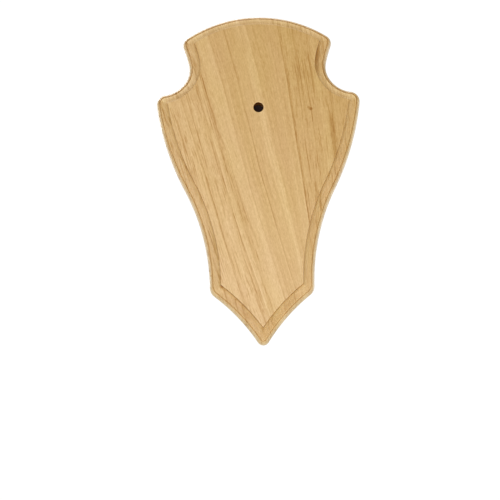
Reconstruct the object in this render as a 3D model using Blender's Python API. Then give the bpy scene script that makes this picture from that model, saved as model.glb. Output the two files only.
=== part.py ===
"""Shield-shaped trophy board: one piece of oak with a moulded edge, for mounting a small pair of antlers.

The board hangs upright on a wall. Its back lies in the plane y = 0, its face looks towards -Y, and the
origin is on its back, halfway up. Its outline is drawn with a compass: every corner and every stretch
between two corners is an arc that runs into the next one without a kink. The moulding follows the same
arcs, moved inwards, so a corner whose radius is used up becomes a mitre.
"""

import math

import bmesh
import bpy
from mathutils import Vector

# Board, in metres
LENGTH = 0.200
WIDTH = 0.1224
THICKNESS = 0.012

# Outline, from the crown to the tip. A drop is measured down from the top of the crown.
CROWN_RADIUS = 0.0773
HORN_SPAN = 0.0895
HORN_RADIUS = 0.0053
WAIST_WIDTH = 0.0823
WAIST_DROP = 0.03195
NOTCH_RADIUS = 0.0135
NOTCH_UPPER_TURN = math.radians(12.0)
NOTCH_LOWER_TURN = math.radians(26.5)
SHOULDER_DROP = 0.05355
SHOULDER_RADIUS = 0.0061
SHOULDER_SLOPE = math.radians(7.5)
SIDE_SWELL_SHARE = 0.47
FOOT_SPAN = 0.0621
FOOT_HEIGHT = 0.0351
FOOT_RADIUS = 0.0072
TIP_EDGE_RADIUS = 0.114
TIP_RADIUS = 0.0037

# Edge moulding: a rounded side, a narrow quirk, a ledge, a cove and a step up to the raised panel.
# An inset is measured in from the outline, a height up from the back.
BORDER_WIDTH = 0.0069
BACK_EASE = 0.0006
SIDE_ROUND_RADIUS = 0.0074
SIDE_ROUND_START = 0.0010
CREASE_INSET = 0.00175
QUIRK_WIDTH = 0.0004
QUIRK_DEPTH = 0.0003
LIP_HEIGHT = 0.0060
LEDGE_WIDTH = 0.0024
LEDGE_RISE = 0.0004
STEP_HEIGHT = 0.0013
ARRIS_BEVEL = 0.00025

# Hole for the screw that holds the antlers, sunk at the back for the screw's head
SCREW_HOLE_DROP = 0.0583
SCREW_HOLE_DIAMETER = 0.0060
SCREW_SINK_DIAMETER = 0.0100
SCREW_SINK_DEPTH = 0.0045

# Keyhole slot in the back, for the screw or nail in the wall
KEYHOLE_DROP = 0.0210
KEYHOLE_TRAVEL = 0.0130
KEYHOLE_ENTRY_DIAMETER = 0.0096
KEYHOLE_HEAD_WIDTH = 0.0090
KEYHOLE_NECK_WIDTH = 0.0048
KEYHOLE_LIP = 0.0026
KEYHOLE_DEPTH = 0.0078

# Fineness of the curves
CURVE_STEP = 0.0040
CORNER_SEGMENTS = 5
LONG_ARC_MINIMUM = 3
BACK_EASE_SEGMENTS = 2
SIDE_ROUND_SEGMENTS = 4
COVE_SEGMENTS = 7
HOLE_SEGMENTS = 32

# Tolerances of the modelling
MERGE_DISTANCE = 0.00002
CUT_OVERSHOOT = 0.002
ENTRY_EXTRA_DEPTH = 0.0002
SHARP_ANGLE = math.radians(30.0)

OAK_COLOUR = (0.62, 0.42, 0.20, 1.0)
OAK_ROUGHNESS = 0.55

CROWN_HEIGHT = LENGTH / 2


class Arc:
    """One arc of the outline. side is +1 where its centre is on the board's side of it, and -1 outside."""

    def __init__(self, centre, radius, side):
        self.centre = centre
        self.radius = radius
        self.side = side

    def reach(self, inset):
        """Radius of the arc once the outline is moved inwards by inset."""
        return self.radius - self.side * inset

    def is_corner_used_up(self, inset):
        return self.side > 0 and self.radius <= inset

    def towards(self, point, inset):
        """Point of the moved arc on the line from its centre to point."""
        return self.centre + (point - self.centre).normalized() * self.reach(inset)


def clear_scene():
    for item in list(bpy.data.objects):
        bpy.data.objects.remove(item, do_unlink=True)


def direction(angle):
    return Vector((math.cos(angle), math.sin(angle)))


def circle_crossings(first_centre, first_radius, second_centre, second_radius):
    """Both points at the given distances from two centres."""
    across = second_centre - first_centre
    gap = across.length
    along = (gap ** 2 + first_radius ** 2 - second_radius ** 2) / (2 * gap)
    off = math.sqrt(max(first_radius ** 2 - along ** 2, 0.0))
    unit = across / gap
    normal = Vector((-unit.y, unit.x))
    foot = first_centre + unit * along
    return foot + normal * off, foot - normal * off


def hollow_from(hollow, corner, pull):
    """Wider hollow that leaves the given one where pull points away from, and touches the round corner."""
    between = hollow.centre - corner.centre
    reach = hollow.radius + corner.radius
    growth = (between.length_squared - reach ** 2) / (2 * (reach - between.dot(pull)))
    return Arc(hollow.centre + pull * growth, hollow.radius + growth, -1)


def arc_centre(start, heading, end):
    """Centre of the arc that leaves start along heading and ends at end."""
    normal = Vector((-heading.y, heading.x))
    chord = end - start
    return start + normal * (chord.length_squared / (2 * normal.dot(chord)))


def side_arcs(start, start_heading, end, end_heading):
    """Swell and hollow of a long side: two arcs that meet without a kink and keep both end directions."""
    ratio = SIDE_SWELL_SHARE / (1 - SIDE_SWELL_SHARE)
    chord = end - start
    a = 2 * ratio * (start_heading.dot(end_heading) - 1)
    b = -2 * chord.dot(start_heading * ratio + end_heading)
    c = chord.length_squared
    lower = 2 * c / (-b + math.sqrt(b * b - 4 * a * c))
    upper = ratio * lower
    upper_end = start + start_heading * upper
    lower_end = end - end_heading * lower
    middle = (upper_end * lower + lower_end * upper) / (upper + lower)
    swell_centre = arc_centre(start, start_heading, middle)
    hollow_centre = arc_centre(end, end_heading, middle)
    swell = Arc(swell_centre, (start - swell_centre).length, 1)
    hollow = Arc(hollow_centre, (end - hollow_centre).length, -1)
    return swell, hollow


def outline_arcs():
    """Arcs of the right half, from the crown to the tip, in (x, z)."""
    crown = Arc(Vector((0, CROWN_HEIGHT - CROWN_RADIUS)), CROWN_RADIUS, 1)

    horn_x = HORN_SPAN / 2 - HORN_RADIUS
    horn_rise = math.sqrt((CROWN_RADIUS - HORN_RADIUS) ** 2 - horn_x ** 2)
    horn = Arc(Vector((horn_x, crown.centre.y + horn_rise)), HORN_RADIUS, 1)

    waist_x = WAIST_WIDTH / 2 + NOTCH_RADIUS
    waist = Arc(Vector((waist_x, CROWN_HEIGHT - WAIST_DROP)), NOTCH_RADIUS, -1)

    shoulder_x = WIDTH / 2 - SHOULDER_RADIUS
    shoulder = Arc(Vector((shoulder_x, CROWN_HEIGHT - SHOULDER_DROP)), SHOULDER_RADIUS, 1)

    notch_top = hollow_from(waist, horn, direction(-NOTCH_UPPER_TURN))
    notch_bottom = hollow_from(waist, shoulder, direction(NOTCH_LOWER_TURN))

    foot_x = FOOT_SPAN / 2 - FOOT_RADIUS
    foot = Arc(Vector((foot_x, FOOT_HEIGHT - LENGTH / 2)), FOOT_RADIUS, 1)

    side_start = shoulder.centre + direction(-SHOULDER_SLOPE) * SHOULDER_RADIUS
    side_heading = direction(-math.pi / 2 - SHOULDER_SLOPE)
    side_end = foot.centre + Vector((FOOT_RADIUS, 0))
    swell, hollow = side_arcs(side_start, side_heading, side_end, Vector((0, -1)))

    tip = Arc(Vector((0, TIP_RADIUS - LENGTH / 2)), TIP_RADIUS, 1)
    edge_centres = circle_crossings(foot.centre, TIP_EDGE_RADIUS + FOOT_RADIUS,
                                    tip.centre, TIP_EDGE_RADIUS + TIP_RADIUS)
    tip_edge = Arc(min(edge_centres, key=lambda centre: centre.y), TIP_EDGE_RADIUS, -1)

    return [crown, horn, notch_top, waist, notch_bottom, shoulder, swell, hollow, foot, tip_edge, tip]


def meeting_point(first, second, inset):
    """Point where one arc of the outline runs into the next."""
    if first.side != second.side:
        return first.towards(second.centre, inset)
    wider, narrower = sorted((first, second), key=lambda arc: -arc.radius)
    return wider.towards(narrower.centre, inset)


def mitre_point(before, corner, after, inset):
    """Point where the arcs on both sides of a used-up corner cross."""
    crossings = circle_crossings(before.centre, before.reach(inset), after.centre, after.reach(inset))
    return min(crossings, key=lambda point: (point - corner.centre).length)


def mirrored(arc):
    return Arc(Vector((-arc.centre.x, arc.centre.y)), arc.radius, arc.side)


def arc_ends(arcs, inset):
    """Start and end of each arc of the right half, moved inwards by inset."""
    crown_top = Vector((0, CROWN_HEIGHT - inset))
    tip_end = Vector((0, inset - LENGTH / 2))
    joints = [meeting_point(first, second, inset) for first, second in zip(arcs, arcs[1:])]
    ends = [[start, end] for start, end in zip([crown_top] + joints, joints + [tip_end])]
    neighbours = arcs + [mirrored(arcs[-2])]
    for index, corner in enumerate(arcs):
        if corner.is_corner_used_up(inset):
            mitre = mitre_point(arcs[index - 1], corner, neighbours[index + 1], inset)
            ends[index - 1][1] = mitre
            ends[index] = [mitre, mitre]
            if index + 1 < len(arcs):
                ends[index + 1][0] = mitre
    return ends


def arc_turn(arc, start, end):
    """Angle at which the arc starts, and how far it turns."""
    first = math.atan2(start.y - arc.centre.y, start.x - arc.centre.x)
    last = math.atan2(end.y - arc.centre.y, end.x - arc.centre.x)
    turn = (last - first + math.pi) % math.tau - math.pi
    return first, turn


def segment_counts(arcs):
    """Number of straight segments for each arc, the same for every ring of the moulding."""
    counts = []
    for arc, (start, end) in zip(arcs, arc_ends(arcs, 0.0)):
        turn = abs(arc_turn(arc, start, end)[1])
        by_length = max(LONG_ARC_MINIMUM, round(arc.radius * turn / CURVE_STEP))
        counts.append(max(CORNER_SEGMENTS, by_length) if arc.side > 0 else by_length)
    return counts


def half_outline(arcs, counts, inset):
    """Points of the right half from the crown to the tip."""
    points = [Vector((0, CROWN_HEIGHT - inset))]
    for arc, (start, end), count in zip(arcs, arc_ends(arcs, inset), counts):
        if (end - start).length < MERGE_DISTANCE:
            points += [end.copy() for _ in range(count)]
            continue
        first, turn = arc_turn(arc, start, end)
        for step in range(1, count + 1):
            angle = first + turn * step / count
            points.append(arc.centre + direction(angle) * arc.reach(inset))
    points[-1].x = 0.0
    return points


def full_outline(arcs, counts, inset):
    """Closed ring of points, down the right side and up the left."""
    right = half_outline(arcs, counts, inset)
    left = [Vector((-point.x, point.y)) for point in reversed(right[1:-1])]
    return right + left


def moulding_profile():
    """Insets and heights of the edge moulding, from the back to the panel."""
    stations = []
    for step in range(BACK_EASE_SEGMENTS + 1):
        angle = math.pi / 2 * step / BACK_EASE_SEGMENTS
        stations.append((BACK_EASE * (1 - math.sin(angle)), BACK_EASE * (1 - math.cos(angle))))

    crease_angle = math.acos(1 - CREASE_INSET / SIDE_ROUND_RADIUS)
    for step in range(SIDE_ROUND_SEGMENTS + 1):
        angle = crease_angle * step / SIDE_ROUND_SEGMENTS
        inset = SIDE_ROUND_RADIUS * (1 - math.cos(angle))
        stations.append((inset, SIDE_ROUND_START + SIDE_ROUND_RADIUS * math.sin(angle)))

    crease_height = stations[-1][1]
    stations.append((CREASE_INSET + QUIRK_WIDTH / 2, crease_height - QUIRK_DEPTH))

    lip_inset = CREASE_INSET + QUIRK_WIDTH
    stations.append((lip_inset, LIP_HEIGHT))

    cove_inset = lip_inset + LEDGE_WIDTH
    cove_foot = LIP_HEIGHT + LEDGE_RISE
    cove_width = BORDER_WIDTH - cove_inset
    cove_height = THICKNESS - STEP_HEIGHT - cove_foot
    for step in range(COVE_SEGMENTS + 1):
        angle = math.pi / 2 * step / COVE_SEGMENTS
        inset = cove_inset + cove_width * math.sin(angle)
        stations.append((inset, cove_foot + cove_height * (1 - math.cos(angle))))

    stations.append((BORDER_WIDTH, THICKNESS - ARRIS_BEVEL))
    stations.append((BORDER_WIDTH + ARRIS_BEVEL, THICKNESS))
    return stations


def shade_round_faces(mesh):
    """Smooth shading on everything round, flat shading on the faces that look along Y."""
    mesh.shade_smooth()
    mesh.set_sharp_from_angle(angle=SHARP_ANGLE)
    for face in mesh.polygons:
        if abs(face.normal.y) > math.cos(math.radians(1.0)):
            face.use_smooth = False


def make_object(name, bm):
    bmesh.ops.recalc_face_normals(bm, faces=bm.faces)
    mesh = bpy.data.meshes.new(name)
    bm.to_mesh(mesh)
    bm.free()
    shade_round_faces(mesh)
    item = bpy.data.objects.new(name, mesh)
    bpy.context.scene.collection.objects.link(item)
    return item


def loft_rings(bm, rings):
    """Closed skin over rings that have equally many points, capped at both ends."""
    loops = [[bm.verts.new(point) for point in ring] for ring in rings]
    for lower, upper in zip(loops, loops[1:]):
        for index in range(len(lower)):
            following = (index + 1) % len(lower)
            bm.faces.new((lower[index], lower[following], upper[following], upper[index]))
    bm.faces.new(loops[0])
    bm.faces.new(loops[-1])
    bmesh.ops.remove_doubles(bm, verts=bm.verts, dist=MERGE_DISTANCE)


def moulded_board():
    arcs = outline_arcs()
    counts = segment_counts(arcs)
    rings = []
    for inset, height in moulding_profile():
        outline = full_outline(arcs, counts, inset)
        rings.append([(point.x, -height, point.y) for point in outline])
    bm = bmesh.new()
    loft_rings(bm, rings)
    return make_object("plaque", bm)


def turned_cutter(name, profile, height):
    """Solid of revolution about the Y axis at the given height. profile lists (radius, y)."""
    rings = []
    for radius, y in profile:
        turns = (math.tau * step / HOLE_SEGMENTS for step in range(HOLE_SEGMENTS))
        rings.append([(radius * math.cos(turn), y, height + radius * math.sin(turn)) for turn in turns])
    bm = bmesh.new()
    loft_rings(bm, rings)
    return make_object(name, bm)


def slot_cutter(name, width, low, high, front, back):
    """Upright slot with round ends, centred on x = 0 between the heights low and high."""
    radius = width / 2
    half_turn = HOLE_SEGMENTS // 2
    outline = []
    for step in range(half_turn + 1):
        turn = math.pi * step / half_turn
        outline.append((radius * math.cos(turn), high + radius * math.sin(turn)))
    for step in range(half_turn + 1):
        turn = math.pi + math.pi * step / half_turn
        outline.append((radius * math.cos(turn), low + radius * math.sin(turn)))
    rings = [[(x, y, z) for x, z in outline] for y in (front, back)]
    bm = bmesh.new()
    loft_rings(bm, rings)
    return make_object(name, bm)


def screw_hole_cutter():
    hole_radius = SCREW_HOLE_DIAMETER / 2
    sink_radius = SCREW_SINK_DIAMETER / 2
    profile = [
        (hole_radius, -THICKNESS - CUT_OVERSHOOT),
        (hole_radius, -SCREW_SINK_DEPTH),
        (sink_radius, -SCREW_SINK_DEPTH),
        (sink_radius, CUT_OVERSHOOT),
    ]
    return turned_cutter("screw_hole_cutter", profile, CROWN_HEIGHT - SCREW_HOLE_DROP)


def keyhole_cutters():
    top = CROWN_HEIGHT - KEYHOLE_DROP
    entry = top - KEYHOLE_TRAVEL
    entry_radius = KEYHOLE_ENTRY_DIAMETER / 2
    floor = -KEYHOLE_DEPTH
    entry_profile = [(entry_radius, floor - ENTRY_EXTRA_DEPTH), (entry_radius, CUT_OVERSHOOT)]
    middle = -(KEYHOLE_LIP + KEYHOLE_DEPTH) / 2
    return [
        turned_cutter("keyhole_entry_cutter", entry_profile, entry),
        slot_cutter("keyhole_head_cutter", KEYHOLE_HEAD_WIDTH, entry, top, floor, -KEYHOLE_LIP),
        slot_cutter("keyhole_neck_cutter", KEYHOLE_NECK_WIDTH, entry, top, middle, CUT_OVERSHOOT),
    ]


def cut_away(board, cutters):
    for cutter in cutters:
        cutter.hide_render = True
        cutter.display_type = 'WIRE'
        cut = board.modifiers.new(cutter.name, 'BOOLEAN')
        cut.operation = 'DIFFERENCE'
        cut.solver = 'EXACT'
        cut.object = cutter


def oak_material():
    oak = bpy.data.materials.new("light_oak")
    oak.use_nodes = True
    shader = oak.node_tree.nodes["Principled BSDF"]
    shader.inputs["Base Color"].default_value = OAK_COLOUR
    shader.inputs["Roughness"].default_value = OAK_ROUGHNESS
    shader.inputs["Metallic"].default_value = 0.0
    return oak


def build_plaque():
    clear_scene()
    board = moulded_board()
    cut_away(board, [screw_hole_cutter()] + keyhole_cutters())
    board.data.materials.append(oak_material())


build_plaque()
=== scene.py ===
"""Light oak antler plaque, seen from slightly below in plain soft studio light.

The board's outline is drawn with a compass, as in the CAD model, but in finer steps, so that its
moulding and its edges read as machined and sanded wood. The wood's figure is one solid texture in the
board's own coordinates, so it runs through the moulding, the edges, the holes and the back.
"""

import math

import bmesh
import bpy
from mathutils import Matrix, Vector


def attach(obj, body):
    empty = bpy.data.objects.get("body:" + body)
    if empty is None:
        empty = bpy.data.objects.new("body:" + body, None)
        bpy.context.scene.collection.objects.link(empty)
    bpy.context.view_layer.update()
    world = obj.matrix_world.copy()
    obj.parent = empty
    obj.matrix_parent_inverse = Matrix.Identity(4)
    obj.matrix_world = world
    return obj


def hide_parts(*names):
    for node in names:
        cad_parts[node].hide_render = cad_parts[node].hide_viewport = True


# Board, in metres
LENGTH = 0.200
WIDTH = 0.1223
THICKNESS = 0.012
CROWN_HEIGHT = LENGTH / 2

# Outline, from the crown to the tip. A drop is measured down from the top of the crown.
CROWN_RADIUS = 0.0773
HORN_SPAN = 0.0895
HORN_RADIUS = 0.0053
WAIST_WIDTH = 0.0823
WAIST_DROP = 0.03195
NOTCH_RADIUS = 0.0135
NOTCH_UPPER_TURN = math.radians(12.0)
NOTCH_LOWER_TURN = math.radians(26.5)
SHOULDER_DROP = 0.05355
SHOULDER_RADIUS = 0.0061
SHOULDER_SLOPE = math.radians(7.5)
SIDE_SWELL_SHARE = 0.47
FOOT_SPAN = 0.0621
FOOT_HEIGHT = 0.0351
FOOT_RADIUS = 0.0072
TIP_EDGE_RADIUS = 0.114
TIP_RADIUS = 0.0037

# Edge moulding, as (inset from the outline, height up from the back)
BORDER_WIDTH = 0.0069
BACK_EASE = 0.0006
SIDE_ROUND_RADIUS = 0.0074
SIDE_ROUND_START = 0.0010
CREASE_INSET = 0.00175
QUIRK_WIDTH = 0.0004
QUIRK_DEPTH = 0.0003
LIP_HEIGHT = 0.0060
LIP_ROUND_WIDTH = 0.0008
LIP_ROUND_HEIGHT = 0.0005
LIP_ROUND_RISE = 0.0001
LEDGE_WIDTH = 0.0024
LEDGE_RISE = 0.0004
STEP_HEIGHT = 0.0013
ARRIS_RADIUS = 0.00028

# Holes
SCREW_HOLE_HEIGHT = 0.0417
SCREW_HOLE_RADIUS = 0.0030
SCREW_SINK_RADIUS = 0.0050
SCREW_SINK_DEPTH = 0.0045
KEYHOLE_TOP = 0.0790
KEYHOLE_ENTRY = 0.0660
KEYHOLE_ENTRY_RADIUS = 0.0048
KEYHOLE_HEAD_RADIUS = 0.0045
KEYHOLE_NECK_RADIUS = 0.0024
KEYHOLE_LIP = 0.0026
KEYHOLE_DEPTH = 0.0078
KEYHOLE_ENTRY_EXTRA_DEPTH = 0.0002
HOLE_EASE = 0.0003
HOLE_EASE_WIDTH = 0.0006
CUT_OVERSHOOT = 0.002

# Fineness of the mesh
CURVE_STEP = 0.0011
CORNER_SEGMENTS = 14
BACK_EASE_SEGMENTS = 4
SIDE_ROUND_SEGMENTS = 10
LIP_SEGMENTS = 5
COVE_SEGMENTS = 18
ARRIS_SEGMENTS = 4
HOLE_SEGMENTS = 72
LONG_ARC_MINIMUM = 6
QUIRK_SHARES = (0.25, 0.5, 0.75)
MERGE_DISTANCE = 0.000004
SHARP_ANGLE = math.radians(32.0)
FLAT_FACE_ANGLE = math.radians(0.5)

# Camera
CAMERA_AIM = Vector((-0.00677, 0.0, -0.04262))
CAMERA_DISTANCE = 1.1
CAMERA_RISE = math.radians(9.48)
CAMERA_ROLL = math.radians(-1.164)
CAMERA_LENS = 132.99

# Stage. The small dark square is painted shade: it closes the screw hole just in front of its sink.
FLOOR_HEIGHT = -0.45
FLOOR_SIZE = 6.0
SHADE_SQUARE_DEPTH = 0.0047
SHADE_SQUARE_SIZE = 0.0062
WORLD_LIGHT = 0.64
WORLD_EXTRA_SEEN = 0.41
# Softboxes, as name, place, (width, height), power
LIGHTS = (
    ("front_low", (-0.28, -1.05, -0.02), (0.60, 0.42), 1.6),
    ("front_floor", (0.05, -0.70, -0.42), (0.90, 0.45), 2.0),
    ("right", (0.90, -0.70, 0.10), (0.60, 0.60), 0.8),
    ("left_edge", (-0.75, 0.75, 0.0), (0.50, 0.50), 1.3),
    ("right_edge", (0.75, 0.75, 0.0), (0.50, 0.50), 1.7),
    ("top", (0.0, 0.25, 1.05), (0.70, 0.70), 5.0),
    ("back", (-0.40, 1.20, 0.60), (0.90, 0.90), 9.0),
)

# Wood. A tone is a change of brightness in the picture, where 1 is from black to white.
OAK_TONE = (0.822, 0.670, 0.438)
GAMMA = 2.2
# How much of a tone goes into red, green and blue, so that the picture shows it equally in all three
TONE_SHARES = (0.84, 1.05, 1.18)

# The grain fans out downwards and bends, more and more with the distance from one height.
GRAIN_FAN_CENTRE = 0.1156
GRAIN_FAN_RATE = 1.6
GRAIN_SLANT = 0.19
GRAIN_BEND_HEIGHT = 0.050
GRAIN_BEND = 0.022
GRAIN_BEND_GROWTH = 0.45
GRAIN_BEND_RIGHT = (0.028, 0.010)
GRAIN_BEND_LEFT = (-0.012, -0.026)
GRAIN_WANDER = 0.0022
GRAIN_RIPPLE = 0.0009
RING_TILT = 0.30

# Fineness of each pattern in cycles a metre, across the rings, through the board and along the grain
WANDER_FINENESS = (26.0, 30.0, 11.0)
RIPPLE_FINENESS = (90.0, 60.0, 45.0)
STRENGTH_FINENESS = (150.0, 40.0, 14.0)
GAP_FINENESS = (500.0, 60.0, 55.0)
STRIPE_FINENESS = (300.0, 60.0, 6.0)
FINE_STRIPE_FINENESS = (1100.0, 250.0, 16.0)
HAIRLINE_FINENESS = (1000.0, 200.0, 22.0)
CROWD_FINENESS = (120.0, 60.0, 16.0)
PORE_FINENESS = (1800.0, 700.0, 110.0)
HAIR_FINENESS = (2200.0, 1500.0, 300.0)
HUE_FINENESS = (80.0, 80.0, 24.0)
# The same across, through and up the board
SPECK_FINENESS = (1300.0, 1300.0, 900.0)

# Noise levels between which hairlines, pores and crowds of pores come in
HAIRLINE_CUT = (0.15, 0.23)
PORE_CUT = (0.05, 0.20)
CROWD_CUT = (-0.16, 0.16)
CROWD_SHARE = 0.60
# Rings between which the wood turns busy, towards the left and towards the right
BUSY_LEFT = (-0.0150, -0.0190)
BUSY_RIGHT = (0.0245, 0.0270)
BUSY_LEAST = 0.35

STRIPE_TONE = 0.040
FINE_STRIPE_TONE = 0.095
HAIRLINE_TONE = -0.062
PORE_TONE = -0.080
HAIR_TONE = 0.140
SPECK_TONE = 0.095

# Growth rings, as (place across the grain, width, tone). A ring has one sharp edge, at its place, and fades
# out over its width, which is negative where it fades to the left.
RINGS = (
    (-0.0396, 0.0012, -0.044),
    (-0.0347, 0.0026, -0.062),
    (-0.0294, 0.0016, 0.024),
    (-0.0236, -0.0020, -0.060),
    (-0.0235, 0.0016, 0.024),
    (-0.0208, 0.0036, -0.058),
    (-0.0096, -0.0095, 0.030),
    (-0.0095, 0.0016, -0.045),
    (-0.0067, 0.0030, -0.036),
    (-0.0043, 0.0080, -0.020),
    (-0.0011, -0.0014, 0.026),
    (-0.0011, 0.0014, -0.088),
    (0.0018, 0.0016, -0.016),
    (0.0062, 0.0055, 0.032),
    (0.0111, -0.0050, 0.026),
    (0.0113, 0.0012, -0.022),
    (0.0144, 0.0028, -0.028),
    (0.0209, -0.0025, 0.014),
    (0.0256, -0.0020, 0.036),
    (0.0257, 0.0024, -0.084),
    (0.0330, 0.0014, -0.062),
    (0.0367, 0.0022, -0.018),
    (0.0420, 0.0045, 0.030),
    (0.0500, -0.0030, -0.050),
)
RING_EDGE = 0.00012
RING_STRENGTH = 0.9
RING_STRENGTH_SPREAD = 1.6
RING_GAP_SPREAD = 1.8

# Spots, as (x, z), (half width, half length), tone, and the heights between which they show. The two on the
# panel are dark specks in the wood, the pale one in the left notch is a painted highlight, and the dark ones
# along the step and in the right notch are darker wood with painted shade.
MARKS_AND_SHADES = (
    ((0.0312, 0.0401), (0.0011, 0.0009), -0.150, 0.0116, 0.0130),
    ((0.0301, 0.0411), (0.0008, 0.0007), -0.090, 0.0116, 0.0130),
    ((0.0358, 0.0720), (0.0021, 0.0095), -0.150, 0.0063, 0.0114),
    ((-0.0415, 0.0660), (0.0050, 0.0140), 0.045, 0.0050, 0.0104),
    ((-0.0420, 0.0520), (0.0030, 0.0016), -0.080, 0.0063, 0.0118),
    ((-0.0237, -0.0650), (0.0009, 0.0013), -0.220, 0.0070, 0.0119),
    ((-0.0120, 0.0916), (0.0040, 0.0006), -0.080, 0.0063, 0.0119),
    ((-0.0030, 0.0921), (0.0035, 0.0005), -0.080, 0.0063, 0.0119),
    ((0.0550, 0.0440), (0.0012, 0.0035), -0.110, 0.0090, 0.0119),
    ((0.0454, 0.0150), (0.0014, 0.0030), -0.110, 0.0090, 0.0119),
)
MARK_FADE = 0.0002

# Bands of the moulding, as (height, reach), and their painted light and shade. The second tone is added where
# a band looks up. The crease is a little lighter on the sides and painted shade where it looks up, the lip
# and the ledge carry a painted highlight, and the arris carries a painted highlight that turns to painted
# shade where it looks up.
CREASE_BAND = (0.0056, 0.0006)
CREASE_LIGHT_AND_SHADE_TONES = (0.010, -0.085)
LIP_BAND = (0.0060, 0.0004)
LIP_HIGHLIGHT_TONES = (0.018, 0.008)
LEDGE_BAND = (0.0066, 0.0006)
LEDGE_HIGHLIGHT_TONES = (0.030, 0.0)
ARRIS_BAND = (0.01186, 0.00014)
ARRIS_HIGHLIGHT_AND_SHADE_TONES = (0.060, -0.165)
# Painted shade and highlight, and the heights where they start and end, as (from, to)
BELOW_ARRIS = (0.0114, 0.01175)
# Painted shade at the foot of the step and along it, broken into patches, and weaker where it looks up
STEP_FOOT = (0.0078, 0.0096)
STEP_FOOT_SHADE_TONE = -0.100
STEP_LINE = (0.0094, 0.0106)
STEP_LINE_SHADE_TONE = -0.370
STEP_FADE_UPWARD = -0.85
PATCHES = (-0.18, 0.12)
# Painted highlight on the ledge where it looks up, and painted shade in the cove near the tip
UPWARD_LEDGE_START = (0.0059, 0.0060)
UPWARD_LEDGE_FADE = (0.0060, 0.0067)
UPWARD_LEDGE_HIGHLIGHT_TONE = 0.095
TIP_COVE_START = (0.0058, 0.0062)
TIP_COVE_FADE = (0.0066, 0.0076)
TIP_COVE_TOP = (-0.078, -0.068)
TIP_COVE_SHADE_TONE = -0.044
PANEL_START = (0.0116, 0.0119)
GREY_SIDE_END = (0.0044, 0.0056)
UPWARD_NORMAL = (0.02, 0.09)
# Painted shade inside the screw hole and a painted highlight on a rim round its mouth
HOLE_SHADE_TONE = -0.28
HOLE_SHADE_RADIUS = 0.0033
RIM_HIGHLIGHT_TONE = 0.050
RIM_HIGHLIGHT_RADIUS = 0.0035

# Painted sheen: the face turns paler towards the foot and the left side, where more light falls on it and
# reflects from it.
PALE_START = 0.025
PALE_PER_HEIGHT = -0.95
PALE_PER_WIDTH = -1.2
PALE_SHARES = (0.44, 0.50, 0.70)
PALE_SIDE_SHARE = 0.3
# Drifts of single colours, by noise and on the greyer sawn side
HUE_GREEN = -0.020
HUE_BLUE = 0.030
GREY_RED = -0.035
GREY_BLUE = 0.030

# Surface
ROUGHNESS = 0.38
STRIPE_ROUGHNESS = -0.10
PORE_ROUGHNESS = 0.15
PORE_RELIEF = -0.7
HAIR_RELIEF = 0.5
STRIPE_RELIEF = 0.6
RELIEF_STRENGTH = 0.25
RELIEF_DISTANCE = 0.00015


class Arc:
    """One arc of the outline. side is +1 where its centre is on the board's side of it, and -1 outside."""

    def __init__(self, centre, radius, side):
        self.centre = centre
        self.radius = radius
        self.side = side

    def reach(self, inset):
        return self.radius - self.side * inset

    def towards(self, point, inset):
        return self.centre + (point - self.centre).normalized() * self.reach(inset)


def direction(angle):
    return Vector((math.cos(angle), math.sin(angle)))


def circle_crossings(first_centre, first_radius, second_centre, second_radius):
    across = second_centre - first_centre
    gap = across.length
    along = (gap ** 2 + first_radius ** 2 - second_radius ** 2) / (2 * gap)
    off = math.sqrt(max(first_radius ** 2 - along ** 2, 0.0))
    unit = across / gap
    normal = Vector((-unit.y, unit.x))
    foot = first_centre + unit * along
    return foot + normal * off, foot - normal * off


def hollow_from(hollow, corner, pull):
    """Wider hollow that leaves the given one where pull points away from, and touches the round corner."""
    between = hollow.centre - corner.centre
    reach = hollow.radius + corner.radius
    growth = (between.length_squared - reach ** 2) / (2 * (reach - between.dot(pull)))
    return Arc(hollow.centre + pull * growth, hollow.radius + growth, -1)


def arc_centre(start, heading, end):
    normal = Vector((-heading.y, heading.x))
    chord = end - start
    return start + normal * (chord.length_squared / (2 * normal.dot(chord)))


def side_arcs(start, start_heading, end, end_heading):
    """Swell and hollow of a long side: two arcs that meet without a kink and keep both end directions."""
    ratio = SIDE_SWELL_SHARE / (1 - SIDE_SWELL_SHARE)
    chord = end - start
    a = 2 * ratio * (start_heading.dot(end_heading) - 1)
    b = -2 * chord.dot(start_heading * ratio + end_heading)
    c = chord.length_squared
    lower = 2 * c / (-b + math.sqrt(b * b - 4 * a * c))
    upper = ratio * lower
    upper_end = start + start_heading * upper
    lower_end = end - end_heading * lower
    middle = (upper_end * lower + lower_end * upper) / (upper + lower)
    swell_centre = arc_centre(start, start_heading, middle)
    hollow_centre = arc_centre(end, end_heading, middle)
    swell = Arc(swell_centre, (start - swell_centre).length, 1)
    hollow = Arc(hollow_centre, (end - hollow_centre).length, -1)
    return swell, hollow


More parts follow.
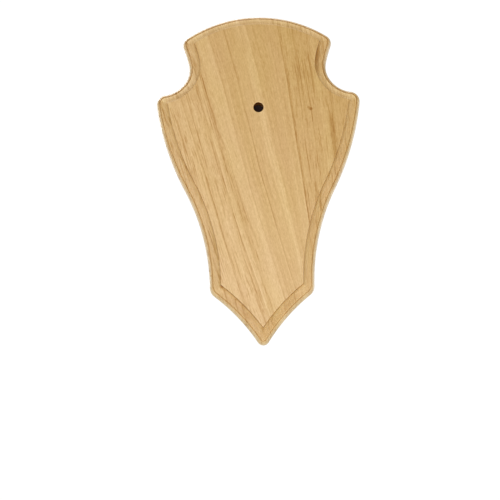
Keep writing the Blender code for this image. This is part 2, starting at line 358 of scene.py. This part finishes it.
def outline_arcs():
    """Arcs of the right half, from the crown to the tip, in (x, z)."""
    crown = Arc(Vector((0, CROWN_HEIGHT - CROWN_RADIUS)), CROWN_RADIUS, 1)
    horn_x = HORN_SPAN / 2 - HORN_RADIUS
    horn_rise = math.sqrt((CROWN_RADIUS - HORN_RADIUS) ** 2 - horn_x ** 2)
    horn = Arc(Vector((horn_x, crown.centre.y + horn_rise)), HORN_RADIUS, 1)
    waist_centre = Vector((WAIST_WIDTH / 2 + NOTCH_RADIUS, CROWN_HEIGHT - WAIST_DROP))
    waist = Arc(waist_centre, NOTCH_RADIUS, -1)
    shoulder_centre = Vector((WIDTH / 2 - SHOULDER_RADIUS, CROWN_HEIGHT - SHOULDER_DROP))
    shoulder = Arc(shoulder_centre, SHOULDER_RADIUS, 1)
    notch_top = hollow_from(waist, horn, direction(-NOTCH_UPPER_TURN))
    notch_bottom = hollow_from(waist, shoulder, direction(NOTCH_LOWER_TURN))
    foot = Arc(Vector((FOOT_SPAN / 2 - FOOT_RADIUS, FOOT_HEIGHT - LENGTH / 2)), FOOT_RADIUS, 1)
    side_start = shoulder.centre + direction(-SHOULDER_SLOPE) * SHOULDER_RADIUS
    side_heading = direction(-math.pi / 2 - SHOULDER_SLOPE)
    side_end = foot.centre + Vector((FOOT_RADIUS, 0))
    swell, hollow = side_arcs(side_start, side_heading, side_end, Vector((0, -1)))
    tip = Arc(Vector((0, TIP_RADIUS - LENGTH / 2)), TIP_RADIUS, 1)
    edge_centres = circle_crossings(foot.centre, TIP_EDGE_RADIUS + FOOT_RADIUS,
                                    tip.centre, TIP_EDGE_RADIUS + TIP_RADIUS)
    tip_edge = Arc(min(edge_centres, key=lambda centre: centre.y), TIP_EDGE_RADIUS, -1)
    return [crown, horn, notch_top, waist, notch_bottom, shoulder, swell, hollow, foot, tip_edge, tip]


def meeting_point(first, second, inset):
    if first.side != second.side:
        return first.towards(second.centre, inset)
    wider, narrower = sorted((first, second), key=lambda arc: -arc.radius)
    return wider.towards(narrower.centre, inset)


def mitre_point(before, corner, after, inset):
    """Point where the arcs on both sides of a used-up corner cross."""
    crossings = circle_crossings(before.centre, before.reach(inset), after.centre, after.reach(inset))
    return min(crossings, key=lambda point: (point - corner.centre).length)


def arc_ends(arcs, inset):
    """Start and end of each arc of the right half, moved inwards by inset."""
    crown_top = Vector((0, CROWN_HEIGHT - inset))
    tip_end = Vector((0, inset - LENGTH / 2))
    joints = [meeting_point(first, second, inset) for first, second in zip(arcs, arcs[1:])]
    ends = [[start, end] for start, end in zip([crown_top] + joints, joints + [tip_end])]
    last = arcs[-2]
    neighbours = arcs + [Arc(Vector((-last.centre.x, last.centre.y)), last.radius, last.side)]
    for index, corner in enumerate(arcs):
        if corner.side > 0 and corner.radius <= inset:
            mitre = mitre_point(arcs[index - 1], corner, neighbours[index + 1], inset)
            ends[index - 1][1] = mitre
            ends[index] = [mitre, mitre]
            if index + 1 < len(arcs):
                ends[index + 1][0] = mitre
    return ends


def arc_turn(arc, start, end):
    first = math.atan2(start.y - arc.centre.y, start.x - arc.centre.x)
    last = math.atan2(end.y - arc.centre.y, end.x - arc.centre.x)
    return first, (last - first + math.pi) % math.tau - math.pi


def segment_counts(arcs):
    counts = []
    for arc, (start, end) in zip(arcs, arc_ends(arcs, 0.0)):
        turn = abs(arc_turn(arc, start, end)[1])
        by_length = max(LONG_ARC_MINIMUM, round(arc.radius * turn / CURVE_STEP))
        counts.append(max(CORNER_SEGMENTS, by_length) if arc.side > 0 else by_length)
    return counts


def full_outline(arcs, counts, inset):
    """Closed ring of points, down the right side and up the left."""
    right = [Vector((0, CROWN_HEIGHT - inset))]
    for arc, (start, end), count in zip(arcs, arc_ends(arcs, inset), counts):
        if (end - start).length < MERGE_DISTANCE:
            right += [end.copy() for _ in range(count)]
            continue
        first, turn = arc_turn(arc, start, end)
        for step in range(1, count + 1):
            right.append(arc.centre + direction(first + turn * step / count) * arc.reach(inset))
    right[-1].x = 0.0
    left = [Vector((-point.x, point.y)) for point in reversed(right[1:-1])]
    return right + left


def moulding_profile():
    """Insets and heights of the edge moulding, from the back to the panel."""
    stations = []
    for step in range(BACK_EASE_SEGMENTS + 1):
        angle = math.pi / 2 * step / BACK_EASE_SEGMENTS
        stations.append((BACK_EASE * (1 - math.sin(angle)), BACK_EASE * (1 - math.cos(angle))))
    crease_angle = math.acos(1 - CREASE_INSET / SIDE_ROUND_RADIUS)
    for step in range(SIDE_ROUND_SEGMENTS + 1):
        angle = crease_angle * step / SIDE_ROUND_SEGMENTS
        inset = SIDE_ROUND_RADIUS * (1 - math.cos(angle))
        stations.append((inset, SIDE_ROUND_START + SIDE_ROUND_RADIUS * math.sin(angle)))
    crease_height = stations[-1][1]
    lip_inset = CREASE_INSET + QUIRK_WIDTH
    lip_start = LIP_HEIGHT + LIP_ROUND_RISE - LIP_ROUND_HEIGHT
    for share in QUIRK_SHARES:
        dip = QUIRK_DEPTH * math.sin(math.pi * share)
        level = crease_height + (lip_start - crease_height) * share
        stations.append((CREASE_INSET + QUIRK_WIDTH * share, level - dip))
    for step in range(LIP_SEGMENTS + 1):
        angle = math.pi / 2 * step / LIP_SEGMENTS
        inset = lip_inset + LIP_ROUND_WIDTH * (1 - math.cos(angle))
        stations.append((inset, lip_start + LIP_ROUND_HEIGHT * math.sin(angle)))
    cove_inset = lip_inset + LEDGE_WIDTH
    cove_foot = LIP_HEIGHT + LEDGE_RISE
    cove_width = BORDER_WIDTH - cove_inset
    cove_height = THICKNESS - STEP_HEIGHT - cove_foot
    for step in range(COVE_SEGMENTS + 1):
        angle = math.pi / 2 * step / COVE_SEGMENTS
        inset = cove_inset + cove_width * math.sin(angle)
        stations.append((inset, cove_foot + cove_height * (1 - math.cos(angle))))
    for step in range(ARRIS_SEGMENTS + 1):
        angle = math.pi / 2 * step / ARRIS_SEGMENTS
        inset = BORDER_WIDTH + ARRIS_RADIUS * (1 - math.cos(angle))
        stations.append((inset, THICKNESS - ARRIS_RADIUS * (1 - math.sin(angle))))
    return stations


def loft(name, rings):
    """Closed skin over rings that have equally many points, capped at both ends."""
    bm = bmesh.new()
    loops = [[bm.verts.new(point) for point in ring] for ring in rings]
    for lower, upper in zip(loops, loops[1:]):
        for index in range(len(lower)):
            following = (index + 1) % len(lower)
            bm.faces.new((lower[index], lower[following], upper[following], upper[index]))
    bm.faces.new(loops[0])
    bm.faces.new(loops[-1])
    bmesh.ops.remove_doubles(bm, verts=bm.verts, dist=MERGE_DISTANCE)
    bmesh.ops.recalc_face_normals(bm, faces=bm.faces)
    mesh = bpy.data.meshes.new(name)
    bm.to_mesh(mesh)
    bm.free()
    item = bpy.data.objects.new(name, mesh)
    bpy.context.scene.collection.objects.link(item)
    return item


def turned_cutter(name, profile, height):
    """Solid of revolution about the Y axis at the given height. profile lists (radius, y)."""
    rings = []
    for radius, y in profile:
        turns = (math.tau * step / HOLE_SEGMENTS for step in range(HOLE_SEGMENTS))
        rings.append([(radius * math.cos(turn), y, height + radius * math.sin(turn)) for turn in turns])
    return loft(name, rings)


def slot_cutter(name, radius, front, back):
    """Upright slot with round ends along the keyhole's travel."""
    half_turn = HOLE_SEGMENTS // 2
    outline = []
    for turn_start, height in ((0.0, KEYHOLE_TOP), (math.pi, KEYHOLE_ENTRY)):
        for step in range(half_turn + 1):
            turn = turn_start + math.pi * step / half_turn
            outline.append((radius * math.cos(turn), height + radius * math.sin(turn)))
    return loft(name, [[(x, y, z) for x, z in outline] for y in (front, back)])


def make_board():
    """The board with its holes cut, as one closed mesh with smooth mouldings and flat faces."""
    arcs = outline_arcs()
    counts = segment_counts(arcs)
    rings = []
    for inset, height in moulding_profile():
        rings.append([(point.x, -height, point.y) for point in full_outline(arcs, counts, inset)])
    board = loft("oak_board", rings)

    screw_profile = [
        (SCREW_HOLE_RADIUS + HOLE_EASE_WIDTH, -THICKNESS - HOLE_EASE),
        (SCREW_HOLE_RADIUS, -THICKNESS + HOLE_EASE),
        (SCREW_HOLE_RADIUS, -SCREW_SINK_DEPTH),
        (SCREW_SINK_RADIUS, -SCREW_SINK_DEPTH),
        (SCREW_SINK_RADIUS, -HOLE_EASE),
        (SCREW_SINK_RADIUS + HOLE_EASE_WIDTH, HOLE_EASE),
    ]
    entry_profile = [
        (KEYHOLE_ENTRY_RADIUS, -KEYHOLE_DEPTH - KEYHOLE_ENTRY_EXTRA_DEPTH),
        (KEYHOLE_ENTRY_RADIUS, -HOLE_EASE),
        (KEYHOLE_ENTRY_RADIUS + HOLE_EASE_WIDTH, HOLE_EASE),
    ]
    neck_front = -(KEYHOLE_LIP + KEYHOLE_DEPTH) / 2
    cutters = [
        turned_cutter("screw_hole_cutter", screw_profile, SCREW_HOLE_HEIGHT),
        turned_cutter("keyhole_entry_cutter", entry_profile, KEYHOLE_ENTRY),
        slot_cutter("keyhole_head_cutter", KEYHOLE_HEAD_RADIUS, -KEYHOLE_DEPTH, -KEYHOLE_LIP),
        slot_cutter("keyhole_neck_cutter", KEYHOLE_NECK_RADIUS, neck_front, CUT_OVERSHOOT),
    ]
    for cutter in cutters:
        cut = board.modifiers.new(cutter.name, 'BOOLEAN')
        cut.operation = 'DIFFERENCE'
        cut.solver = 'EXACT'
        cut.object = cutter
    bpy.context.view_layer.update()
    mesh = bpy.data.meshes.new_from_object(board.evaluated_get(bpy.context.evaluated_depsgraph_get()))
    board.modifiers.clear()
    board.data = mesh
    for cutter in cutters:
        bpy.data.objects.remove(cutter, do_unlink=True)

    mesh.shade_smooth()
    mesh.set_sharp_from_angle(angle=SHARP_ANGLE)
    for face in mesh.polygons:
        if abs(face.normal.y) > math.cos(FLAT_FACE_ANGLE):
            face.use_smooth = False
    return board

class NodeMaker:
    """Adds nodes to a tree and links or sets their inputs."""

    def __init__(self, tree):
        self.tree = tree

    def feed(self, socket, value):
        if isinstance(value, bpy.types.NodeSocket):
            self.tree.links.new(value, socket)
        else:
            socket.default_value = value

    def node(self, kind, inputs=None, **settings):
        made = self.tree.nodes.new(kind)
        for name, value in settings.items():
            setattr(made, name, value)
        for key, value in (inputs or {}).items():
            self.feed(made.inputs[key], value)
        return made

    def math(self, operation, first, second=0.0, third=0.0):
        return self.node("ShaderNodeMath", {0: first, 1: second, 2: third}, operation=operation).outputs[0]

    def add(self, *terms):
        total = terms[0]
        for term in terms[1:]:
            total = self.math('ADD', total, term)
        return total

    def times(self, *factors):
        product = factors[0]
        for factor in factors[1:]:
            product = self.math('MULTIPLY', product, factor)
        return product

    def plus_times(self, value, factor, term):
        """value * factor + term"""
        return self.math('MULTIPLY_ADD', value, factor, term)

    def vector(self, x, y, z):
        return self.node("ShaderNodeCombineXYZ", {0: x, 1: y, 2: z}).outputs[0]

    def noise(self, place, fineness, detail=2.0, roughness=0.5):
        """Noise about zero, from -0.5 to 0.5."""
        scaled = self.vector(*[self.times(axis, cycles) for axis, cycles in zip(place, fineness)])
        inputs = {"Vector": scaled, "Scale": 1.0, "Detail": detail, "Roughness": roughness}
        made = self.node("ShaderNodeTexNoise", inputs, noise_dimensions='3D')
        return self.math('SUBTRACT', made.outputs["Fac"], 0.5)

    def step(self, value, start, end, low=0.0, high=1.0):
        """Smooth step from low to high as value goes from start to end."""
        inputs = {"Value": value, "From Min": start, "From Max": end, "To Min": low, "To Max": high}
        return self.node("ShaderNodeMapRange", inputs, interpolation_type='SMOOTHSTEP').outputs[0]

    def fade(self, value, start, end, low=0.0):
        """Smooth step down from 1 to low as value goes from start to end."""
        return self.step(value, start, end, 1.0, low)

    def bump_at(self, value, centre, width):
        """1 where value is centre, falling to 0 a width away."""
        away = self.math('ABSOLUTE', self.math('SUBTRACT', value, centre))
        return self.fade(away, 0.0, width)

    def spot(self, x, z, centre, size, edge=0.45):
        """1 inside an upright ellipse on the face, 0 outside. edge is the share of its size that is soft."""
        across = self.times(self.math('SUBTRACT', x, centre[0]), 1 / size[0])
        along = self.times(self.math('SUBTRACT', z, centre[1]), 1 / size[1])
        reach = self.math('SQRT', self.add(self.times(across, across), self.times(along, along)))
        return self.fade(reach, 1.0 - edge, 1.0 + edge)


def grain_coordinates(make, x, y, z):
    """Places across the rings, through the board and along the grain."""
    fan = make.math('EXPONENT', make.times(z, -GRAIN_FAN_RATE))
    across = make.plus_times(make.math('SUBTRACT', x, GRAIN_FAN_CENTRE), fan, GRAIN_FAN_CENTRE)
    # Below the bend's height it leans to the left, less so near the left side, and to the right near the
    # right side.
    below = make.math('SUBTRACT', GRAIN_BEND_HEIGHT, z)
    bend = make.plus_times(make.math('ABSOLUTE', below), GRAIN_BEND_GROWTH, GRAIN_BEND)
    share = make.times(make.step(across, *GRAIN_BEND_RIGHT, -0.5), make.fade(across, *GRAIN_BEND_LEFT, 0.7))
    across = make.math('SUBTRACT', across, make.times(below, bend, share))
    along = make.plus_times(x, -GRAIN_SLANT, z)
    wander = make.noise((across, y, along), WANDER_FINENESS, detail=1.0)
    ripple = make.noise((across, y, along), RIPPLE_FINENESS, detail=0.0)
    sway = make.plus_times(wander, GRAIN_WANDER, make.times(ripple, GRAIN_RIPPLE))
    ring = make.add(across, sway, make.plus_times(y, RING_TILT, THICKNESS * RING_TILT))
    return ring, y, along


def ring_tone(make, grain):
    """The growth rings that are listed, broken up by noise."""
    ring = grain[0]
    strength = make.plus_times(make.noise(grain, STRENGTH_FINENESS), RING_STRENGTH_SPREAD, RING_STRENGTH)
    strength = make.plus_times(make.noise(grain, GAP_FINENESS), RING_GAP_SPREAD, strength)
    total = 0.0
    for place, width, tone in RINGS:
        edge = math.copysign(RING_EDGE, width)
        line = make.times(make.step(ring, place - edge, place + edge), make.fade(ring, place, place + width))
        total = make.plus_times(line, tone, total)
    return make.times(total, strength)


def moulding_painted_light(make, height, z, upward, specks):
    """Painted light and shade on the moulding: a slightly lighter crease, highlights on the lip, the ledge
    and the arris, painted shade along the foot of the step and in the crease and on the arris where they look
    up, and painted shade in the cove near the tip.
    """
    painted_shades = []
    for band, tones in ((CREASE_BAND, CREASE_LIGHT_AND_SHADE_TONES), (LIP_BAND, LIP_HIGHLIGHT_TONES),
                        (LEDGE_BAND, LEDGE_HIGHLIGHT_TONES), (ARRIS_BAND, ARRIS_HIGHLIGHT_AND_SHADE_TONES)):
        tone = make.plus_times(upward, tones[1], tones[0])
        painted_shades.append(make.times(make.bump_at(height, *band), tone))

    below_arris = make.fade(height, *BELOW_ARRIS)
    foot = make.times(make.step(height, *STEP_FOOT), below_arris, STEP_FOOT_SHADE_TONE)
    patchy = make.fade(specks, *PATCHES, 0.6)
    line = make.times(make.step(height, *STEP_LINE), below_arris, patchy, STEP_LINE_SHADE_TONE)
    painted_shades.append(make.times(make.add(foot, line), make.plus_times(upward, STEP_FADE_UPWARD, 1.0)))

    upward_ledge_highlight = make.times(make.step(height, *UPWARD_LEDGE_START), make.fade(height, *UPWARD_LEDGE_FADE, 0.1))
    painted_shades.append(make.times(upward_ledge_highlight, below_arris, upward, UPWARD_LEDGE_HIGHLIGHT_TONE))
    tip_cove_shade = make.times(make.step(height, *TIP_COVE_START), make.fade(height, *TIP_COVE_FADE))
    painted_shades.append(make.times(tip_cove_shade, make.fade(z, *TIP_COVE_TOP), TIP_COVE_SHADE_TONE))
    return make.add(*painted_shades)


def hole_shade_and_rim_highlight(make, x, z, height):
    """Painted shade inside the screw hole and a painted highlight on a rim round its mouth."""
    centre = (0.0, SCREW_HOLE_HEIGHT)
    hole_interior_shade = make.spot(x, z, centre, (HOLE_SHADE_RADIUS, HOLE_SHADE_RADIUS), 0.05)
    rim_highlight = make.spot(x, z, centre, (RIM_HIGHLIGHT_RADIUS, RIM_HIGHLIGHT_RADIUS), 0.14)
    return make.add(make.times(hole_interior_shade, make.fade(height, *PANEL_START), HOLE_SHADE_TONE),
                    make.times(rim_highlight, make.step(height, *PANEL_START), RIM_HIGHLIGHT_TONE))


def mark_and_shade_tone(make, x, z, height):
    # Dark specks in the wood, darker wood with painted shade along the step, and a painted highlight in the
    # left notch
    total = 0.0
    for place, size, tone, low, high in MARKS_AND_SHADES:
        shown = make.times(make.step(height, low, low + MARK_FADE), make.fade(height, high - MARK_FADE, high))
        total = make.plus_times(make.times(make.spot(x, z, place, size), shown), tone, total)
    return total


def oak_material():
    oak = bpy.data.materials.new("light_oak")
    oak.use_nodes = True
    make = NodeMaker(oak.node_tree)
    shader = oak.node_tree.nodes["Principled BSDF"]

    coordinates = make.node("ShaderNodeTexCoord")
    x, y, z = make.node("ShaderNodeSeparateXYZ", {0: coordinates.outputs["Object"]}).outputs
    normal_z = make.node("ShaderNodeSeparateXYZ", {0: coordinates.outputs["Normal"]}).outputs[2]
    # Share of the surface that faces up, where painted light and shade from above change the moulding's tones
    upward = make.step(normal_z, *UPWARD_NORMAL)
    height = make.times(y, -1.0)
    grain = grain_coordinates(make, x, y, z)
    ring = grain[0]

    # Many finer stripes, and long hairlines where the wood is busy, which is towards both sides
    stripes = make.noise(grain, STRIPE_FINENESS, roughness=0.6)
    fine_stripes = make.noise(grain, FINE_STRIPE_FINENESS, roughness=0.6)
    busy = make.add(make.step(ring, *BUSY_LEFT), make.step(ring, *BUSY_RIGHT), BUSY_LEAST)
    hairlines = make.times(make.step(make.noise(grain, HAIRLINE_FINENESS, detail=0.0), *HAIRLINE_CUT), busy)

    # Pores: short dark dashes along the grain, crowded in some rings
    crowd = make.step(make.noise(grain, CROWD_FINENESS), *CROWD_CUT)
    dashes = make.step(make.noise(grain, PORE_FINENESS, detail=1.0), *PORE_CUT)
    pores = make.times(dashes, make.plus_times(crowd, CROWD_SHARE, 1 - CROWD_SHARE), busy)
    hairs = make.noise(grain, HAIR_FINENESS, detail=1.0)

    # Open grain where the moulding cuts across the fibres
    specks = make.noise((x, y, z), SPECK_FINENESS)

    tone = make.add(
        ring_tone(make, grain),
        make.times(stripes, STRIPE_TONE),
        make.times(fine_stripes, FINE_STRIPE_TONE),
        make.times(hairlines, HAIRLINE_TONE),
        make.times(pores, PORE_TONE),
        make.times(hairs, HAIR_TONE),
        make.times(specks, SPECK_TONE),
        # Painted light and shade on the moulding and in the screw hole, and the spots
        moulding_painted_light(make, height, z, upward, specks),
        hole_shade_and_rim_highlight(make, x, z, height),
        mark_and_shade_tone(make, x, z, height),
    )

    # Painted sheen, weaker on the moulding than on the panel
    panel = make.step(height, *PANEL_START, PALE_SIDE_SHARE)
    sheen_gradient = make.add(PALE_START, make.times(z, PALE_PER_HEIGHT), make.times(x, PALE_PER_WIDTH))
    painted_sheen = make.times(panel, sheen_gradient)
    hue = make.noise(grain, HUE_FINENESS)
    # The outer side is a little greyer than the face, fading out towards the crease.
    grey = make.fade(height, *GREY_SIDE_END)
    blue_drift = make.add(make.times(hue, HUE_BLUE), make.times(grey, GREY_BLUE))
    drifts = (make.times(grey, GREY_RED), make.times(hue, HUE_GREEN), blue_drift)
    channels = [make.add(make.times(painted_sheen, pale_share), make.times(tone, tone_share), drift)
                for pale_share, tone_share, drift in zip(PALE_SHARES, TONE_SHARES, drifts)]
    coded = make.node("ShaderNodeVectorMath", {0: OAK_TONE, 1: make.vector(*channels)}, operation='ADD')
    colour = make.node("ShaderNodeGamma", {"Color": coded.outputs[0], "Gamma": GAMMA})
    make.feed(shader.inputs["Base Color"], colour.outputs[0])

    roughness = make.add(make.times(stripes, STRIPE_ROUGHNESS), make.times(pores, PORE_ROUGHNESS), ROUGHNESS)
    make.feed(shader.inputs["Roughness"], roughness)

    relief = make.add(make.times(pores, PORE_RELIEF), make.times(hairs, HAIR_RELIEF),
                      make.times(fine_stripes, STRIPE_RELIEF))
    bump_inputs = {"Strength": RELIEF_STRENGTH, "Distance": RELIEF_DISTANCE, "Height": relief}
    bump = make.node("ShaderNodeBump", bump_inputs)
    make.feed(shader.inputs["Normal"], bump.outputs[0])
    return oak


def plain_material(name, colour, roughness):
    made = bpy.data.materials.new(name)
    made.use_nodes = True
    shader = made.node_tree.nodes["Principled BSDF"]
    shader.inputs["Base Color"].default_value = colour
    shader.inputs["Roughness"].default_value = roughness
    return made


def stage_plane(name, centre, size, turn, material):
    """Flat square of the stage, turned from facing up."""
    half = size / 2
    mesh = bpy.data.meshes.new(name)
    corners = [(-half, -half, 0), (half, -half, 0), (half, half, 0), (-half, half, 0)]
    mesh.from_pydata(corners, [], [(0, 1, 2, 3)])
    mesh.materials.append(material)
    item = bpy.data.objects.new(name, mesh)
    item.matrix_world = Matrix.Translation(centre) @ Matrix.Rotation(turn, 4, 'X')
    bpy.context.scene.collection.objects.link(item)


def painted_shade_square():
    """Dark square of painted shade in the screw hole, in front of its sink. From behind it is clear, as if it
    were open.
    """
    dark = bpy.data.materials.new("painted_shade_square")
    dark.use_nodes = True
    make = NodeMaker(dark.node_tree)
    shader = dark.node_tree.nodes["Principled BSDF"]
    shader.inputs["Base Color"].default_value = (0.040, 0.021, 0.019, 1.0)
    shader.inputs["Roughness"].default_value = 0.9
    back = make.node("ShaderNodeNewGeometry").outputs["Backfacing"]
    clear = make.node("ShaderNodeBsdfTransparent")
    mixed = make.node("ShaderNodeMixShader", {0: back, 1: shader.outputs[0], 2: clear.outputs[0]})
    output = dark.node_tree.nodes["Material Output"]
    make.feed(output.inputs["Surface"], mixed.outputs[0])
    centre = Vector((0.0, -SHADE_SQUARE_DEPTH, SCREW_HOLE_HEIGHT))
    stage_plane("hole_shade_square", centre, SHADE_SQUARE_SIZE, math.pi / 2, dark)


def area_light(name, place, size, power):
    """Softbox aimed at the board."""
    data = bpy.data.lights.new(name, 'AREA')
    data.shape = 'RECTANGLE'
    data.size, data.size_y = size
    data.energy = power
    item = bpy.data.objects.new(name, data)
    item.location = place
    item.rotation_euler = (-Vector(place)).to_track_quat('-Z', 'Y').to_euler()
    bpy.context.scene.collection.objects.link(item)


def make_stage():
    floor = plain_material("pale_floor", (0.86, 0.86, 0.85, 1.0), 0.7)
    stage_plane("floor", Vector((0.0, 0.0, FLOOR_HEIGHT)), FLOOR_SIZE, 0.0, floor)
    painted_shade_square()

    for name, place, size, power in LIGHTS:
        area_light(name, place, size, power)

    world = bpy.data.worlds.new("studio")
    bpy.context.scene.world = world
    world.use_nodes = True
    make = NodeMaker(world.node_tree)
    for node in list(world.node_tree.nodes):
        world.node_tree.nodes.remove(node)
    seen = make.node("ShaderNodeLightPath").outputs["Is Camera Ray"]
    strength = make.plus_times(seen, WORLD_EXTRA_SEEN, WORLD_LIGHT)
    light = make.node("ShaderNodeBackground", {"Color": (1.0, 1.0, 1.0, 1.0), "Strength": strength})
    output = make.node("ShaderNodeOutputWorld")
    make.feed(output.inputs["Surface"], light.outputs[0])


def make_camera():
    ahead = Vector((0.0, math.cos(CAMERA_RISE), math.sin(CAMERA_RISE)))
    right = Vector((1.0, 0.0, 0.0))
    up = right.cross(ahead)
    rolled_right = right * math.cos(CAMERA_ROLL) + up * math.sin(CAMERA_ROLL)
    rolled_up = up * math.cos(CAMERA_ROLL) - right * math.sin(CAMERA_ROLL)
    data = bpy.data.cameras.new("camera")
    data.sensor_width = 36.0
    data.lens = CAMERA_LENS
    camera = bpy.data.objects.new("camera", data)
    turn = Matrix((rolled_right, rolled_up, -ahead)).transposed().to_4x4()
    camera.matrix_world = Matrix.Translation(CAMERA_AIM - ahead * CAMERA_DISTANCE) @ turn
    bpy.context.scene.collection.objects.link(camera)
    bpy.context.scene.camera = camera


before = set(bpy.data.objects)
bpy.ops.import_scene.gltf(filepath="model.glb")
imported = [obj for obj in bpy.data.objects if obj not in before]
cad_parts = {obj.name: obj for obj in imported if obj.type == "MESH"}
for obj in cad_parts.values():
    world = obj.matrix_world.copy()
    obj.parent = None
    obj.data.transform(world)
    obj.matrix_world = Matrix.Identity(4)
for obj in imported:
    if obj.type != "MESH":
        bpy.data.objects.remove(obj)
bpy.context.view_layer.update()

board = make_board()
board.data.materials.clear()
board.data.materials.append(oak_material())
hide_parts("plaque")
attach(board, "root")

make_stage()
make_camera()
bpy.context.scene.view_settings.view_transform = 'Standard'
